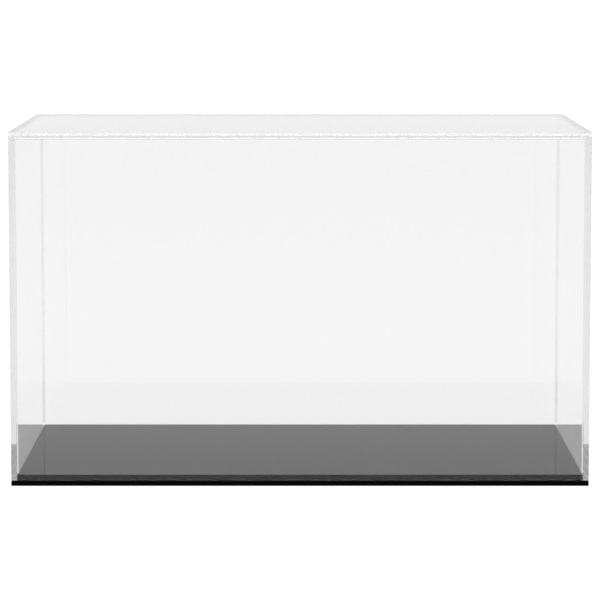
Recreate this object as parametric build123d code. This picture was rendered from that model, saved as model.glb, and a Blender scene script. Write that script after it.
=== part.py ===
from build123d import *
import os

# Football display case: a clear box cover that lifts straight up off a stepped black base.
#
# +X runs across the front, -Y is the front and +Z is up. The origin is the centre of the
# base plate's underside. All sizes are in millimetres.

# Driving dimensions
CASE_WIDTH = 320.0      # across the front, over the cover
CASE_DEPTH = 196.0      # front to back, over the cover
CASE_HEIGHT = 196.0     # underside of the base plate to the top of the cover
SHEET = 3.0             # every plate and panel is cut from sheet of this thickness
COVER_CLEARANCE = 0.25  # locating plate's edge to the inside of the cover, all round
CEMENT_FILM = 0.04      # film of solvent cement between two panels
SEAT_AIR = 0.02         # air film between the cover's lower edge and the base plate
EDGE_BREAK = 0.3        # chamfer left on a sheet edge by polishing
CORNER_BREAK = 0.5      # chamfer along the finished cover's outer corners

# Levels and spans that follow from them
SEAT_LEVEL = SHEET + SEAT_AIR
WALL_TOP = CASE_HEIGHT - SHEET - CEMENT_FILM
WALL_HEIGHT = WALL_TOP - SEAT_LEVEL
LOCATING_INSET = SHEET + COVER_CLEARANCE
END_PANEL_Y = (CASE_DEPTH - SHEET) / 2
SIDE_PANEL_X = (CASE_WIDTH - SHEET) / 2
SIDE_PANEL_LENGTH = CASE_DEPTH - 2 * (SHEET + CEMENT_FILM)


def sheet_piece(width, depth, height, x=0.0, y=0.0, low=0.0):
    """A rectangular piece of sheet, centred on x and y, with its underside at low."""
    return Pos(x, y, low) * Box(width, depth, height, align=(Align.CENTER, Align.CENTER, Align.MIN))


def top_edges(piece):
    """The edges that bound the upper face."""
    return piece.edges().group_by(Axis.Z)[-1]


def bottom_edges(piece):
    """The edges that bound the lower face."""
    return piece.edges().group_by(Axis.Z)[0]


def upright_edges(piece):
    """The edges that run straight up."""
    return piece.edges().filter_by(Axis.Z)


def base_plate():
    """The full-size lower plate, which the cover's walls stand on."""
    plate = sheet_piece(CASE_WIDTH, CASE_DEPTH, SHEET)
    return chamfer(plate.edges(), EDGE_BREAK)


def locating_plate():
    """The smaller upper plate, bonded to the base plate: it centres the cover and is the floor."""
    width = CASE_WIDTH - 2 * LOCATING_INSET
    depth = CASE_DEPTH - 2 * LOCATING_INSET
    plate = sheet_piece(width, depth, SHEET, low=SHEET)
    return chamfer(top_edges(plate) + upright_edges(plate), EDGE_BREAK)


def end_panel(side):
    """The front panel (side -1) or the rear panel (side +1), as wide as the case."""
    panel = sheet_piece(CASE_WIDTH, SHEET, WALL_HEIGHT, y=side * END_PANEL_Y, low=SEAT_LEVEL)
    outer_corners = upright_edges(panel).group_by(Axis.Y)[0 if side < 0 else -1]
    panel = chamfer(outer_corners, CORNER_BREAK)
    return chamfer(bottom_edges(panel), EDGE_BREAK)


def side_panel(side):
    """The left panel (side -1) or the right panel (side +1), between the end panels."""
    panel = sheet_piece(SHEET, SIDE_PANEL_LENGTH, WALL_HEIGHT, x=side * SIDE_PANEL_X, low=SEAT_LEVEL)
    return chamfer(bottom_edges(panel).filter_by(Axis.Y), EDGE_BREAK)


def top_panel():
    """The lid sheet, which covers the upper edges of all the walls."""
    panel = sheet_piece(CASE_WIDTH, CASE_DEPTH, SHEET, low=CASE_HEIGHT - SHEET)
    return chamfer(top_edges(panel) + upright_edges(panel), CORNER_BREAK)


pieces = {
    "base_plate": base_plate(),
    "locating_plate": locating_plate(),
    "front_panel": end_panel(-1),
    "rear_panel": end_panel(1),
    "left_panel": side_panel(-1),
    "right_panel": side_panel(1),
    "top_panel": top_panel(),
}

os.makedirs("parts", exist_ok=True)
for name, piece in pieces.items():
    piece.label = name
    export_step(piece, f"parts/{name}.step")
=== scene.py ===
"""A football display case: a clear acrylic cover that lifts off a stepped black base.

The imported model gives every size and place. Each plate and panel of it is remade here with
softened, polished edges, the cement beads inside the cover are added, and everything is
dressed as cast acrylic sheet on a white studio sweep.
"""

import logging
import math
from dataclasses import dataclass, field
from enum import Enum
from typing import Any, Callable

import bmesh
import bpy
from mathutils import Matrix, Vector


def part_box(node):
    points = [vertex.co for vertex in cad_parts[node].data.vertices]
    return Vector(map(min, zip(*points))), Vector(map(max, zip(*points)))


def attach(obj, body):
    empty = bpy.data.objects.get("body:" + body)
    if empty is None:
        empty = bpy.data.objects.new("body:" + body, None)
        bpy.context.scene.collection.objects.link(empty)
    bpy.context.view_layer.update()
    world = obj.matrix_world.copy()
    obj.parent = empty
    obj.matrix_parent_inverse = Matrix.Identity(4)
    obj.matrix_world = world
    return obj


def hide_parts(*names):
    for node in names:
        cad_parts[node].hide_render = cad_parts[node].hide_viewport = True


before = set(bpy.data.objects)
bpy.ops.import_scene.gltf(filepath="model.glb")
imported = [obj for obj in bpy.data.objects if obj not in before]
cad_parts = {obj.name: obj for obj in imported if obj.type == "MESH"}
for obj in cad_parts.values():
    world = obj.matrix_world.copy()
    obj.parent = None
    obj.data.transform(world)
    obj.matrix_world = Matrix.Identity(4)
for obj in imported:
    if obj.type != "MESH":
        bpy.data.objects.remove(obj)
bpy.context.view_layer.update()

log = logging.getLogger("display_case")

MM = 0.001
# Two faces count as one plane when they are closer than this.
SAME_PLANE_MM = 0.01
# Two directions count as one when the cosine between them is above this.
ALIGNED = 0.9
# And as square to each other when it is below this.
SQUARE = 0.1


class Axis(Enum):
    """The frame's axes, as indices into a vector."""

    X = 0
    Y = 1
    Z = 2


class Body(Enum):
    """The two bodies of the case."""

    BASE = "base"
    COVER = "cover"


class Slot(Enum):
    """The record's material slots."""

    BLACK = "black_acrylic"
    CLEAR = "clear_acrylic"


class Face(Enum):
    """What a face of a sheet is, as the order of its material slots."""

    BROAD = 0
    POLISHED_EDGE = 1
    CEMENTED_EDGE = 2


# ---------------------------------------------------------------------------
# Colour and node helpers
# ---------------------------------------------------------------------------


def linear(hex_colour: str) -> tuple[float, float, float, float]:
    """Turn an sRGB hex colour into the linear colour that a shader takes.

    Args:
        hex_colour: Six hex digits after a hash sign.

    Returns:
        Red, green, blue and an alpha of one.
    """
    channels = [int(hex_colour[i : i + 2], 16) / 255 for i in (1, 3, 5)]
    curved = [c / 12.92 if c <= 0.04045 else ((c + 0.055) / 1.055) ** 2.4 for c in channels]
    return (*curved, 1.0)


def add_node(
    tree: bpy.types.NodeTree,
    kind: str,
    settings: dict[str, Any] | None = None,
    values: dict[str, Any] | None = None,
    links: dict[str, bpy.types.NodeSocket] | None = None,
) -> bpy.types.Node:
    """Add one node with its settings, socket values and incoming links.

    Args:
        tree: The node tree that gets the node.
        kind: The node's Blender type name.
        settings: Properties of the node itself.
        values: Input values, by socket name or index.
        links: Output sockets of other nodes, by the input that they feed.

    Returns:
        The new node.
    """
    node = tree.nodes.new(kind)
    for name, value in (settings or {}).items():
        setattr(node, name, value)
    for name, value in (values or {}).items():
        node.inputs[name].default_value = value
    for name, socket in (links or {}).items():
        tree.links.new(socket, node.inputs[name])
    return node


def per_metre(size_mm: float) -> float:
    """The scale of a pattern on metre coordinates whose features are size_mm across."""
    return 1.0 / (size_mm * MM)


def new_material(name: str) -> tuple[bpy.types.Material, bpy.types.NodeTree, bpy.types.Node]:
    """Make an empty node material with one Principled shader wired to its output.

    Args:
        name: The material's name.

    Returns:
        The material, its node tree and its Principled node.
    """
    material = bpy.data.materials.new(name)
    material.use_nodes = True
    tree = material.node_tree
    tree.nodes.clear()
    shader = add_node(tree, "ShaderNodeBsdfPrincipled")
    add_node(tree, "ShaderNodeOutputMaterial", links={"Surface": shader.outputs["BSDF"]})
    return material, tree, shader


def object_position(tree: bpy.types.NodeTree, stretch: Vector | None = None) -> bpy.types.NodeSocket:
    """The surface point in the piece's own metres, stretched for a directional pattern.

    Args:
        tree: The material's node tree.
        stretch: What each axis is multiplied by, or None for none.

    Returns:
        A vector socket.
    """
    place = add_node(tree, "ShaderNodeTexCoord").outputs["Object"]
    if stretch is None:
        return place
    turned = add_node(tree, "ShaderNodeMapping", values={"Scale": stretch}, links={"Vector": place})
    return turned.outputs["Vector"]


# ---------------------------------------------------------------------------
# Finishes
# ---------------------------------------------------------------------------


@dataclass(frozen=True)
class ClearCastFace:
    """The broad face of cell-cast clear acrylic, as it leaves the glass mould.

    The mould gives a mirror face with a very long, shallow ripple, and wiping leaves faint
    hairlines and smears that only show in reflections.
    """

    name: str = "acrylic_clear_cast_face"
    colour: str = "#f9f9f9"
    ior: float = 1.49
    smear_mm: float = 45.0
    ripple_mm: float = 70.0
    ripple_height_mm: float = 0.004
    smoothest: float = 0.0
    roughest: float = 0.018

    def make(self) -> bpy.types.Material:
        """Build the material.

        Returns:
            The material.
        """
        material, tree, shader = new_material(self.name)
        shader.inputs["Base Color"].default_value = linear(self.colour)
        shader.inputs["IOR"].default_value = self.ior
        shader.inputs["Transmission Weight"].default_value = 1.0
        place = object_position(tree)
        smear = add_node(
            tree,
            "ShaderNodeTexNoise",
            values={"Scale": per_metre(self.smear_mm), "Detail": 5.0, "Roughness": 0.6},
            links={"Vector": place},
        )
        rough = add_node(
            tree,
            "ShaderNodeMapRange",
            values={
                "From Min": 0.45,
                "From Max": 0.75,
                "To Min": self.smoothest,
                "To Max": self.roughest,
            },
            links={"Value": smear.outputs["Fac"]},
        )
        tree.links.new(rough.outputs["Result"], shader.inputs["Roughness"])
        ripple = add_node(
            tree,
            "ShaderNodeTexNoise",
            values={"Scale": per_metre(self.ripple_mm), "Detail": 0.0},
            links={"Vector": place},
        )
        bump = add_node(
            tree,
            "ShaderNodeBump",
            values={"Strength": 1.0, "Distance": self.ripple_height_mm * MM},
            links={"Height": ripple.outputs["Fac"]},
        )
        tree.links.new(bump.outputs["Normal"], shader.inputs["Normal"])
        return material


@dataclass(frozen=True)
class ClearPolishedEdge:
    """A sawn edge of clear acrylic, scraped, sanded and buffed until it is clear.

    Buffing leaves fine lines along the edge, a little haze, and a slight grey from the long
    way that light travels through the sheet to get there.
    """

    name: str = "acrylic_clear_polished_edge"
    colour: str = "#f5f5f5"
    ior: float = 1.49
    line_mm: float = 0.9
    haze: float = 0.05
    relief_mm: float = 0.0002

    def make(self) -> bpy.types.Material:
        """Build the material.

        Returns:
            The material.
        """
        material, tree, shader = new_material(self.name)
        shader.inputs["Base Color"].default_value = linear(self.colour)
        shader.inputs["IOR"].default_value = self.ior
        shader.inputs["Transmission Weight"].default_value = 1.0
        lines = add_node(
            tree,
            "ShaderNodeTexNoise",
            values={"Scale": per_metre(self.line_mm), "Detail": 3.0, "Roughness": 0.55},
            links={"Vector": object_position(tree)},
        )
        rough = add_node(
            tree,
            "ShaderNodeMapRange",
            values={"From Min": 0.3, "From Max": 0.8, "To Min": 0.01, "To Max": self.haze},
            links={"Value": lines.outputs["Fac"]},
        )
        tree.links.new(rough.outputs["Result"], shader.inputs["Roughness"])
        bump = add_node(
            tree,
            "ShaderNodeBump",
            values={"Strength": 1.0, "Distance": self.relief_mm * MM},
            links={"Height": lines.outputs["Fac"]},
        )
        tree.links.new(bump.outputs["Normal"], shader.inputs["Normal"])
        return material


@dataclass(frozen=True)
class CementedEdge:
    """An edge of clear acrylic joined with solvent cement.

    The solvent melts the two faces together, so the joint is nearly clear, with a soft
    grey haze and pinhead bubbles trapped along it.
    """

    name: str = "acrylic_solvent_cemented_edge"
    colour: str = "#eeeeee"
    ior: float = 1.49
    bubble_mm: float = 1.6
    haze: float = 0.02
    relief_mm: float = 0.0004

    def make(self) -> bpy.types.Material:
        """Build the material.

        Returns:
            The material.
        """
        material, tree, shader = new_material(self.name)
        shader.inputs["Base Color"].default_value = linear(self.colour)
        shader.inputs["IOR"].default_value = self.ior
        shader.inputs["Transmission Weight"].default_value = 1.0
        bubbles = add_node(
            tree,
            "ShaderNodeTexVoronoi",
            settings={"feature": "F1"},
            values={"Scale": per_metre(self.bubble_mm), "Randomness": 1.0},
            links={"Vector": object_position(tree)},
        )
        edge = add_node(
            tree,
            "ShaderNodeMapRange",
            values={"From Min": 0.12, "From Max": 0.3, "To Min": self.haze, "To Max": 0.02},
            links={"Value": bubbles.outputs["Distance"]},
        )
        tree.links.new(edge.outputs["Result"], shader.inputs["Roughness"])
        bump = add_node(
            tree,
            "ShaderNodeBump",
            values={"Strength": 1.0, "Distance": self.relief_mm * MM},
            links={"Height": edge.outputs["Result"]},
        )
        tree.links.new(bump.outputs["Normal"], shader.inputs["Normal"])
        return material


@dataclass(frozen=True)
class BlackCastFace:
    """The broad face of black cast acrylic: a deep gloss that mirrors what stands on it.

    Wiping leaves long smears of slightly lower gloss, and a few grains of pale dust settle.
    """

    name: str = "acrylic_black_cast_face"
    colour: str = "#08080a"
    dust_colour: str = "#2c2d30"
    ior: float = 1.49
    smear_mm: float = 60.0
    dust_mm: float = 2.4
    smoothest: float = 0.015
    roughest: float = 0.055

    def make(self) -> bpy.types.Material:
        """Build the material.

        Returns:
            The material.
        """
        material, tree, shader = new_material(self.name)
        shader.inputs["IOR"].default_value = self.ior
        place = object_position(tree)
        smear = add_node(
            tree,
            "ShaderNodeTexNoise",
            values={"Scale": per_metre(self.smear_mm), "Detail": 6.0, "Roughness": 0.6},
            links={"Vector": object_position(tree, Vector((0.6, 1.0, 1.0)))},
        )
        rough = add_node(
            tree,
            "ShaderNodeMapRange",
            values={
                "From Min": 0.4,
                "From Max": 0.75,
                "To Min": self.smoothest,
                "To Max": self.roughest,
            },
            links={"Value": smear.outputs["Fac"]},
        )
        tree.links.new(rough.outputs["Result"], shader.inputs["Roughness"])
        grains = add_node(
            tree,
            "ShaderNodeTexVoronoi",
            settings={"feature": "F1"},
            values={"Scale": per_metre(self.dust_mm), "Randomness": 1.0},
            links={"Vector": place},
        )
        specks = add_node(
            tree,
            "ShaderNodeMapRange",
            values={"From Min": 0.05, "From Max": 0.11, "To Min": 1.0, "To Max": 0.0},
            links={"Value": grains.outputs["Distance"]},
        )
        tint = add_node(
            tree,
            "ShaderNodeMix",
            settings={"data_type": "RGBA"},
            values={6: linear(self.colour), 7: linear(self.dust_colour)},
            links={0: specks.outputs["Result"]},
        )
        tree.links.new(tint.outputs[2], shader.inputs["Base Color"])
        return material


@dataclass(frozen=True)
class BlackSawnEdge:
    """A sawn and machine-polished edge of black acrylic.

    The cutter leaves close upright lines that break up its reflections, so it looks blacker
    than the face.
    """

    name: str = "acrylic_black_sawn_edge"
    colour: str = "#060607"
    ior: float = 1.49
    line_mm: float = 0.8
    relief_mm: float = 0.002
    specular: float = 0.08

    def make(self) -> bpy.types.Material:
        """Build the material.

        Returns:
            The material.
        """
        material, tree, shader = new_material(self.name)
        shader.inputs["Base Color"].default_value = linear(self.colour)
        shader.inputs["IOR"].default_value = self.ior
        shader.inputs["Specular IOR Level"].default_value = self.specular
        lines = add_node(
            tree,
            "ShaderNodeTexNoise",
            values={"Scale": per_metre(self.line_mm), "Detail": 2.0},
            links={"Vector": object_position(tree, Vector((1.0, 1.0, 0.12)))},
        )
        rough = add_node(
            tree,
            "ShaderNodeMapRange",
            values={"From Min": 0.3, "From Max": 0.75, "To Min": 0.08, "To Max": 0.22},
            links={"Value": lines.outputs["Fac"]},
        )
        tree.links.new(rough.outputs["Result"], shader.inputs["Roughness"])
        bump = add_node(
            tree,
            "ShaderNodeBump",
            values={"Strength": 1.0, "Distance": self.relief_mm * MM},
            links={"Height": lines.outputs["Fac"]},
        )
        tree.links.new(bump.outputs["Normal"], shader.inputs["Normal"])
        return material


@dataclass(frozen=True)
class CementBeadFinish:
    """Solvent cement that set as a bead in an inside corner: clear, soft-edged, slightly wavy."""

    name: str = "solvent_cement_bead"
    colour: str = "#f2f2f2"
    ior: float = 1.48
    wave_mm: float = 6.0
    relief_mm: float = 0.02
    haze: float = 0.05

    def make(self) -> bpy.types.Material:
        """Build the material.

        Returns:
            The material.
        """
        material, tree, shader = new_material(self.name)
        shader.inputs["Base Color"].default_value = linear(self.colour)
        shader.inputs["IOR"].default_value = self.ior
        shader.inputs["Transmission Weight"].default_value = 1.0
        waves = add_node(
            tree,
            "ShaderNodeTexNoise",
            values={"Scale": per_metre(self.wave_mm), "Detail": 3.0, "Roughness": 0.5},
            links={"Vector": object_position(tree)},
        )
        rough = add_node(
            tree,
            "ShaderNodeMapRange",
            values={"From Min": 0.35, "From Max": 0.7, "To Min": 0.01, "To Max": self.haze},
            links={"Value": waves.outputs["Fac"]},
        )
        tree.links.new(rough.outputs["Result"], shader.inputs["Roughness"])
        bump = add_node(
            tree,
            "ShaderNodeBump",
            values={"Strength": 1.0, "Distance": self.relief_mm * MM},
            links={"Height": waves.outputs["Fac"]},
        )
        tree.links.new(bump.outputs["Normal"], shader.inputs["Normal"])
        return material


@dataclass(frozen=True)
class SweepFinish:
    """White studio sweep, lit evenly from within so that nothing on it throws a dark shadow."""

    name: str = "studio_sweep"
    colour: str = "#3c3c3c"
    glow_colour: str = "#ffffff"
    glow: float = 1.0

    def make(self) -> bpy.types.Material:
        """Build the material.

        Returns:
            The material.
        """
        material, tree, shader = new_material(self.name)
        shader.inputs["Base Color"].default_value = linear(self.colour)
        shader.inputs["Roughness"].default_value = 1.0
        shader.inputs["Specular IOR Level"].default_value = 0.0
        shader.inputs["Emission Color"].default_value = linear(self.glow_colour)
        shader.inputs["Emission Strength"].default_value = self.glow
        return material


# ---------------------------------------------------------------------------
# Modelling helpers
# ---------------------------------------------------------------------------


def start_clean() -> None:
    """Leave edit mode and deselect everything, so that an operator acts on one piece."""
    if bpy.context.object is not None and bpy.context.object.mode != "OBJECT":
        bpy.ops.object.mode_set(mode="OBJECT")
    bpy.ops.object.select_all(action="DESELECT")


def add_block(name: str, low: Vector, high: Vector) -> bpy.types.Object:
    """Add a block between two corners, with its place in its mesh.

    Args:
        name: The piece's name.
        low: Its lowest corner, in metres.
        high: Its highest corner, in metres.

    Returns:
        The new object, which is the active one.
    """
    start_clean()
    bpy.ops.mesh.primitive_cube_add(size=1.0, location=(low + high) / 2)
    piece = bpy.context.object
    piece.name = name
    piece.data.name = name
    piece.scale = high - low
    bpy.ops.object.transform_apply(location=True, rotation=True, scale=True)
    return piece


def bevel_edges(
    piece: bpy.types.Object,
    wanted: Callable[[Vector, Vector], bool],
    width_mm: float,
    segments: int,
    profile: float = 0.5,
) -> None:
    """Bevel the edges of a piece that a test picks out.

    Args:
        piece: The piece to shape.
        wanted: Given an edge's middle and its direction, says whether it is bevelled.
        width_mm: The bevel's width.
        segments: How many faces it has across.
        profile: 0.5 is round, less is hollow.
    """
    bpy.ops.object.mode_set(mode="EDIT")
    bpy.ops.mesh.select_mode(type="EDGE")
    bpy.ops.mesh.select_all(action="DESELECT")
    mesh = bmesh.from_edit_mesh(piece.data)
    for edge in mesh.edges:
        start, end = (v.co for v in edge.verts)
        edge.select_set(wanted((start + end) / 2, (end - start).normalized()))
    bmesh.update_edit_mesh(piece.data)
    bpy.ops.mesh.bevel(
        offset=width_mm * MM,
        segments=segments,
        profile=profile,
        affect="EDGES",
        clamp_overlap=True,
    )
    bpy.ops.mesh.select_all(action="SELECT")
    bpy.ops.mesh.normals_make_consistent(inside=False)
    bpy.ops.object.mode_set(mode="OBJECT")


def smooth_bevels(piece: bpy.types.Object, angle_deg: float = 40.0) -> None:
    """Shade a piece smooth across its bevels while its broad faces stay optically flat.

    Args:
        piece: The piece, which is selected.
        angle_deg: The sharpest turn that is still shaded smooth.
    """
    piece.select_set(True)
    bpy.context.view_layer.objects.active = piece
    bpy.ops.object.shade_smooth_by_angle(angle=math.radians(angle_deg))
    weighted = piece.modifiers.new("flat_faces", "WEIGHTED_NORMAL")
    weighted.mode = "FACE_AREA"
    weighted.weight = 100
    weighted.keep_sharp = True
    bpy.ops.object.modifier_apply(modifier=weighted.name)


def hand_over(piece: bpy.types.Object, body: Body, node: str | None = None) -> None:
    """Give a finished piece its body and the node that it stands for.

    Args:
        piece: The finished piece.
        body: The body that it rides on.
        node: The CAD node that it stands for, if there is one.
    """
    if node is not None:
        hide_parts(node)
    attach(piece, body.value)
    log.info("%s: %d faces, rides on %s", piece.name, len(piece.data.polygons), body.value)


# ---------------------------------------------------------------------------
# Sub-assemblies
# ---------------------------------------------------------------------------


@dataclass
class SheetPiece:
    """One plate or panel cut from flat sheet.

    Attributes:
        node: The CAD node that it stands for.
        thin: The axis across the sheet's thickness.
        cemented: The edges that are cemented to another panel, as outward directions.
        break_mm: The width of the rounded break on its free edges.
        joint_break_mm: The width of the break that is left beside a cemented joint.
        segments: How many faces each rounded break has across.
    """

    node: str
    thin: Axis
    cemented: tuple[Vector, ...] = ()
    break_mm: float = 0.45
    joint_break_mm: float = 0.05
    segments: int = 3

    def build(self) -> bpy.types.Object:
        """Model the sheet with softened edges, at the CAD node's size and place.

        Returns:
            The sheet.
        """
        low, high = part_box(self.node)
        piece = add_block(f"{self.node}_sheet", low, high)
        bevel_edges(
            piece,
            lambda middle, along: not self.in_joint(middle, low, high),
            self.break_mm,
            self.segments,
        )
        if self.cemented:
            bevel_edges(
                piece,
                lambda middle, along: self.on_joint_rim(middle, along, low, high),
                self.joint_break_mm,
                1,
            )
        smooth_bevels(piece)
        return piece

    def in_joint(self, point: Vector, low: Vector, high: Vector) -> bool:
        """Whether a point lies on one of the cemented edge faces."""
        return any(self.on_side(point, side, low, high) for side in self.cemented)

    def on_joint_rim(self, point: Vector, along: Vector, low: Vector, high: Vector) -> bool:
        """Whether an edge runs along the rim of a cemented edge face.

        Args:
            point: The edge's middle.
            along: Its direction.
            low: The sheet's lowest corner.
            high: The sheet's highest corner.

        Returns:
            True if it does.
        """
        return any(
            self.on_side(point, side, low, high) and abs(along.dot(side)) < SQUARE for side in self.cemented
        )

    @staticmethod
    def on_side(point: Vector, side: Vector, low: Vector, high: Vector) -> bool:
        """Whether a point lies on one face of a block.

        Args:
            point: The point.
            side: The direction that the face looks in.
            low: The block's lowest corner.
            high: The block's highest corner.

        Returns:
            True if it does.
        """
        axis = max(range(3), key=lambda i: abs(side[i]))
        face = high[axis] if side[axis] > 0 else low[axis]
        return abs(point[axis] - face) < SAME_PLANE_MM * MM

    def dress(self, piece: bpy.types.Object, finishes: dict[Face, bpy.types.Material]) -> None:
        """Give each face the finish of what it is.

        Args:
            piece: The modelled sheet.
            finishes: One material for each kind of face.
        """
        for kind in Face:
            piece.data.materials.append(finishes[kind])
        for face in piece.data.polygons:
            face.material_index = self.kind_of(face.normal).value

    def kind_of(self, normal: Vector) -> Face:
        """What a face is.

        Args:
            normal: Its outward normal.

        Returns:
            The kind of face.
        """
        if abs(normal[self.thin.value]) > ALIGNED:
            return Face.BROAD
        if any(normal.dot(side) > ALIGNED for side in self.cemented):
            return Face.CEMENTED_EDGE
        return Face.POLISHED_EDGE


@dataclass
class SteppedBase:
    """The two black plates: a full-size one below and a smaller one that centres the cover."""

    face: BlackCastFace = field(default_factory=BlackCastFace)
    edge: BlackSawnEdge = field(default_factory=BlackSawnEdge)
    plates: tuple[SheetPiece, ...] = (
        SheetPiece("base_plate", Axis.Z, break_mm=0.3),
        SheetPiece("locating_plate", Axis.Z, break_mm=0.3),
    )

    def build(self) -> None:
        """Model and dress both plates."""
        edge = self.edge.make()
        finishes = {Face.BROAD: self.face.make(), Face.POLISHED_EDGE: edge, Face.CEMENTED_EDGE: edge}
        for plate in self.plates:
            piece = plate.build()
            plate.dress(piece, finishes)
            hand_over(piece, Body.BASE, plate.node)


@dataclass
class ClearCover:
    """The five clear panels of the lift-off cover."""

    face: ClearCastFace = field(default_factory=ClearCastFace)
    edge: ClearPolishedEdge = field(default_factory=ClearPolishedEdge)
    joint: CementedEdge = field(default_factory=CementedEdge)
    panels: tuple[SheetPiece, ...] = (
        SheetPiece("front_panel", Axis.Y, (Vector((0, 0, 1)),)),
        SheetPiece("rear_panel", Axis.Y, (Vector((0, 0, 1)),)),
        SheetPiece(
            "left_panel",
            Axis.X,
            (Vector((0, 0, 1)), Vector((0, 1, 0)), Vector((0, -1, 0))),
        ),
        SheetPiece(
            "right_panel",
            Axis.X,
            (Vector((0, 0, 1)), Vector((0, 1, 0)), Vector((0, -1, 0))),
        ),
        SheetPiece("top_panel", Axis.Z, break_mm=0.2),
    )

    def build(self) -> None:
        """Model and dress the panels, which let studio light through without a shadow."""
        finishes = {
            Face.BROAD: self.face.make(),
            Face.POLISHED_EDGE: self.edge.make(),
            Face.CEMENTED_EDGE: self.joint.make(),
        }
        for panel in self.panels:
            piece = panel.build()
            panel.dress(piece, finishes)
            piece.visible_shadow = False
            hand_over(piece, Body.COVER, panel.node)


@dataclass
class CementBeads:
    """The slim beads of cement in the cover's inside corners.

    Attributes:
        leg_mm: How far a bead reaches along each of the two panels.
        air_mm: What it is kept off the panels' faces by.
        foot_mm: How far above the locating plate an upright bead begins, so the plate's
            corners stay free.
        hollow: The shape of its free side, where 0.5 is round and less is hollow.
        width_share: How much of a leg the hollow takes up.
        segments: How many faces the hollow has across.
        finish: Its material.
    """

    leg_mm: float = 0.9
    air_mm: float = 0.02
    foot_mm: float = 1.0
    hollow: float = 0.12
    width_share: float = 0.9
    segments: int = 4
    finish: CementBeadFinish = field(default_factory=CementBeadFinish)

    def build(self) -> None:
        """Model and dress the four upright beads and the four under the top panel."""
        material = self.finish.make()
        inner_low = Vector((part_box("left_panel")[1].x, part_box("front_panel")[1].y, 0.0))
        inner_high = Vector((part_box("right_panel")[0].x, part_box("rear_panel")[0].y, 0.0))
        inner_low.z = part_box("locating_plate")[1].z + self.foot_mm * MM
        inner_high.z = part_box("top_panel")[0].z
        air = Vector((1.0, 1.0, 1.0)) * self.air_mm * MM
        low = inner_low + air
        high = inner_high - air
        for name, corner, run in self.runs():
            piece = self.bead(name, low, high, corner, run)
            piece.data.materials.append(material)
            piece.visible_shadow = False
            hand_over(piece, Body.COVER)

    @staticmethod
    def runs() -> list[tuple[str, Vector, Axis]]:
        """List the eight beads.

        Returns:
            Each bead's name, the sides of the inside that it lies against, and its direction.
        """
        sides = {"left": -1.0, "right": 1.0}
        ends = {"front": -1.0, "rear": 1.0}
        upright = [
            (f"cement_bead_{end}_{side}", Vector((sides[side], ends[end], 0.0)), Axis.Z)
            for end in ends
            for side in sides
        ]
        across = [(f"cement_bead_top_{end}", Vector((0.0, ends[end], 1.0)), Axis.X) for end in ends]
        along = [(f"cement_bead_top_{side}", Vector((sides[side], 0.0, 1.0)), Axis.Y) for side in sides]
        return upright + across + along

    def bead(self, name: str, low: Vector, high: Vector, corner: Vector, run: Axis) -> bpy.types.Object:
        """Model one bead: a bar in the corner whose free edge is hollowed out.

        Args:
            name: The piece's name.
            low: The inside's lowest corner, less the air.
            high: The inside's highest corner, less the air.
            corner: The sides that the bead lies against, minus or plus one on each axis.
            run: The axis that it runs along.

        Returns:
            The bead.
        """
        leg = self.leg_mm * MM
        start = low.copy()
        end = high.copy()
        for axis in Axis:
            i = axis.value
            if corner[i] > 0:
                start[i] = high[i] - leg
            elif corner[i] < 0:
                end[i] = low[i] + leg
        if run is Axis.Y:
            start.y += leg + self.air_mm * MM
            end.y -= leg + self.air_mm * MM
        if run is Axis.Z:
            end.z -= leg + self.air_mm * MM
        piece = add_block(name, start, end)
        free = [start[i] if corner[i] > 0 else end[i] for i in range(3)]

        def is_free_edge(middle: Vector, along: Vector) -> bool:
            """Whether an edge is the long one that faces into the case."""
            if abs(along[run.value]) < ALIGNED:
                return False
            return all(abs(middle[i] - free[i]) < SAME_PLANE_MM * MM for i in range(3) if corner[i])

        width_mm = self.width_share * self.leg_mm
        bevel_edges(piece, is_free_edge, width_mm, self.segments, self.hollow)
        smooth_bevels(piece)
        return piece


# ---------------------------------------------------------------------------
# Studio
# ---------------------------------------------------------------------------


@dataclass(frozen=True)
class SkyBand:
    """How bright the studio walls are at one height above the horizon."""

    elevation_deg: float
    level: float


@dataclass(frozen=True)
class Softbox:
    """One square softbox that faces the case, by its place and side in metres and its watts."""

    name: str
    place: tuple[float, float, float]
    side: float
    power: float

    def hang(self) -> None:
        """Hang it where the camera doesn't see it."""
        light = bpy.data.lights.new(self.name, "AREA")
        light.shape = "SQUARE"
        light.size = self.side
        light.energy = self.power
        lamp = bpy.data.objects.new(self.name, light)
        lamp.location = self.place
        lamp.rotation_euler = (-Vector(self.place)).to_track_quat("-Z", "Y").to_euler()
        lamp.visible_camera = False
        bpy.context.scene.collection.objects.link(lamp)


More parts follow.
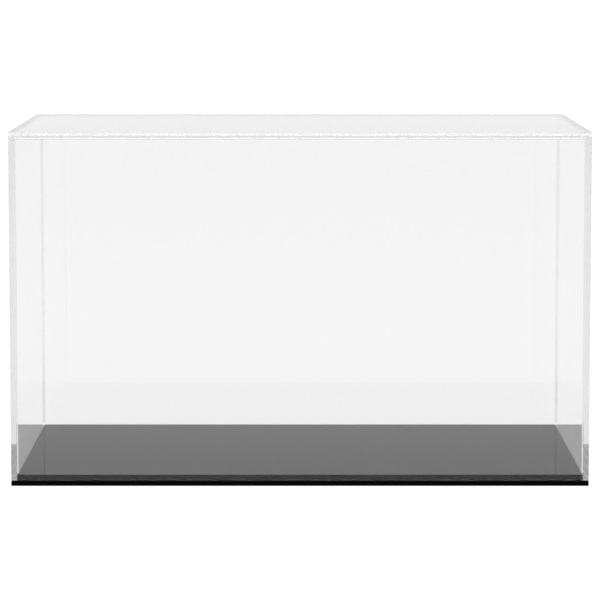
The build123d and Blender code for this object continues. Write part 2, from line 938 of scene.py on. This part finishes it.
@dataclass
class Studio:
    """The white sweep, the walls' soft glow, the softboxes and the camera.

    Attributes:
        sweep_radius: Far enough that the sweep fills the view behind the case.
        sweep_gap_mm: How far below the case the sweep lies, so the two don't coincide.
        camera_distance: From the case's middle, straight out from its front.
        camera_height: Above the sweep.
        aim_height: The height on the case's middle line that the camera looks at.
        lens_mm: Focal length on a 36 mm wide sensor.
        floor_level: How bright the floor looks in the gloss of the case, away from its front.
        front_edge: Directions whose Y is below this are the dark front of the studio.
        back_edge: Directions whose Y is above this have the full floor level.
        floor_depth: How far Z falls below the horizon before the floor level is full.
        walls: Their brightness by height, from straight below to nearly overhead. It stays
            dark low down in front, so the clear front panel doesn't veil the base.
        softboxes: A large one over the case and a narrower one at each side.
        bounces: Enough for light to run the length of a clear sheet and leave at its edge.
    """

    sweep_radius: float = 30.0
    sweep_gap_mm: float = 0.1
    camera_distance: float = 1.847
    camera_height: float = 0.2947
    aim_height: float = 0.0930
    lens_mm: float = 191.7
    sensor_mm: float = 36.0
    bounces: int = 80
    floor_level: float = 0.85
    front_edge: float = -0.35
    back_edge: float = 0.05
    floor_depth: float = -0.03
    walls: tuple[SkyBand, ...] = (
        SkyBand(-90.0, 0.95),
        SkyBand(-25.0, 0.75),
        SkyBand(-14.0, 0.12),
        SkyBand(-4.0, 0.10),
        SkyBand(-0.5, 0.10),
        SkyBand(0.2, 1.00),
        SkyBand(3.0, 0.87),
        SkyBand(8.3, 0.46),
        SkyBand(9.2, 0.38),
        SkyBand(20.0, 0.55),
        SkyBand(60.0, 0.80),
        SkyBand(85.0, 0.95),
    )
    softboxes: tuple[Softbox, ...] = (
        Softbox("softbox_overhead", (0.0, 0.3, 2.2), 2.4, 30.0),
        Softbox("softbox_left", (-2.2, 0.2, 1.4), 1.0, 6.0),
        Softbox("softbox_right", (2.2, 0.2, 1.4), 1.0, 6.0),
    )

    def build(self) -> None:
        """Set up the whole studio."""
        self.lay_sweep()
        self.light_walls()
        for softbox in self.softboxes:
            softbox.hang()
        self.place_camera()
        scene = bpy.context.scene
        scene.view_settings.view_transform = "Standard"
        scene.cycles.max_bounces = self.bounces
        scene.cycles.transmission_bounces = self.bounces
        scene.cycles.glossy_bounces = self.bounces

    def lay_sweep(self) -> None:
        """Lay the white floor, which the gloss of the case doesn't mirror."""
        start_clean()
        bpy.ops.mesh.primitive_circle_add(
            vertices=128,
            radius=self.sweep_radius,
            fill_type="NGON",
            location=(0.0, 0.0, -self.sweep_gap_mm * MM),
        )
        floor = bpy.context.object
        floor.name = "studio_sweep"
        bpy.ops.object.transform_apply(location=True, rotation=True, scale=True)
        floor.data.materials.append(SweepFinish().make())
        floor.visible_glossy = False

    def light_walls(self) -> None:
        """Make the world a soft band of light that is brightest at the horizon."""
        world = bpy.data.worlds.new("studio_walls")
        bpy.context.scene.world = world
        world.use_nodes = True
        tree = world.node_tree
        tree.nodes.clear()
        direction = add_node(tree, "ShaderNodeTexCoord").outputs["Generated"]
        split = add_node(tree, "ShaderNodeSeparateXYZ", links={0: direction})
        height = split.outputs["Z"]
        lowest = math.sin(math.radians(self.walls[0].elevation_deg))
        highest = math.sin(math.radians(self.walls[-1].elevation_deg))
        place = add_node(
            tree,
            "ShaderNodeMapRange",
            values={"From Min": lowest, "From Max": highest},
            links={"Value": height},
        )
        ramp = add_node(tree, "ShaderNodeValToRGB", links={"Fac": place.outputs["Result"]})
        stops = ramp.color_ramp.elements
        while len(stops) < len(self.walls):
            stops.new(0.5)
        for stop, band in zip(stops, self.walls):
            stop.position = (math.sin(math.radians(band.elevation_deg)) - lowest) / (highest - lowest)
            stop.color = (band.level, band.level, band.level, 1.0)
        below = add_node(
            tree,
            "ShaderNodeMapRange",
            values={"From Min": 0.0, "From Max": self.floor_depth},
            links={"Value": height},
        )
        behind = add_node(
            tree,
            "ShaderNodeMapRange",
            values={
                "From Min": self.front_edge,
                "From Max": self.back_edge,
                "To Max": self.floor_level,
            },
            links={"Value": split.outputs["Y"]},
        )
        lift = add_node(
            tree,
            "ShaderNodeMath",
            settings={"operation": "MULTIPLY"},
            links={0: below.outputs["Result"], 1: behind.outputs["Result"]},
        )
        level = add_node(
            tree,
            "ShaderNodeMath",
            settings={"operation": "MAXIMUM"},
            links={0: ramp.outputs["Color"], 1: lift.outputs["Value"]},
        )
        glow = add_node(
            tree,
            "ShaderNodeBackground",
            values={"Strength": 1.0},
            links={"Color": level.outputs["Value"]},
        )
        add_node(tree, "ShaderNodeOutputWorld", links={"Surface": glow.outputs["Background"]})

    def place_camera(self) -> None:
        """Stand a long lens in front of the case, a little above it, with no shift."""
        data = bpy.data.cameras.new("camera")
        data.sensor_width = self.sensor_mm
        data.lens = self.lens_mm
        data.clip_start = 0.05
        data.clip_end = 4.0 * self.sweep_radius
        camera = bpy.data.objects.new("camera", data)
        camera.location = (0.0, -self.camera_distance, self.camera_height)
        aim = Vector((0.0, 0.0, self.aim_height))
        camera.rotation_euler = (aim - camera.location).to_track_quat("-Z", "Y").to_euler()
        bpy.context.scene.collection.objects.link(camera)
        bpy.context.scene.camera = camera


def main() -> None:
    """Build the case and the studio round it."""
    logging.basicConfig(level=logging.INFO, format="%(name)s: %(message)s")
    SteppedBase().build()
    ClearCover().build()
    CementBeads().build()
    Studio().build()


if __name__ == "__main__":
    main()
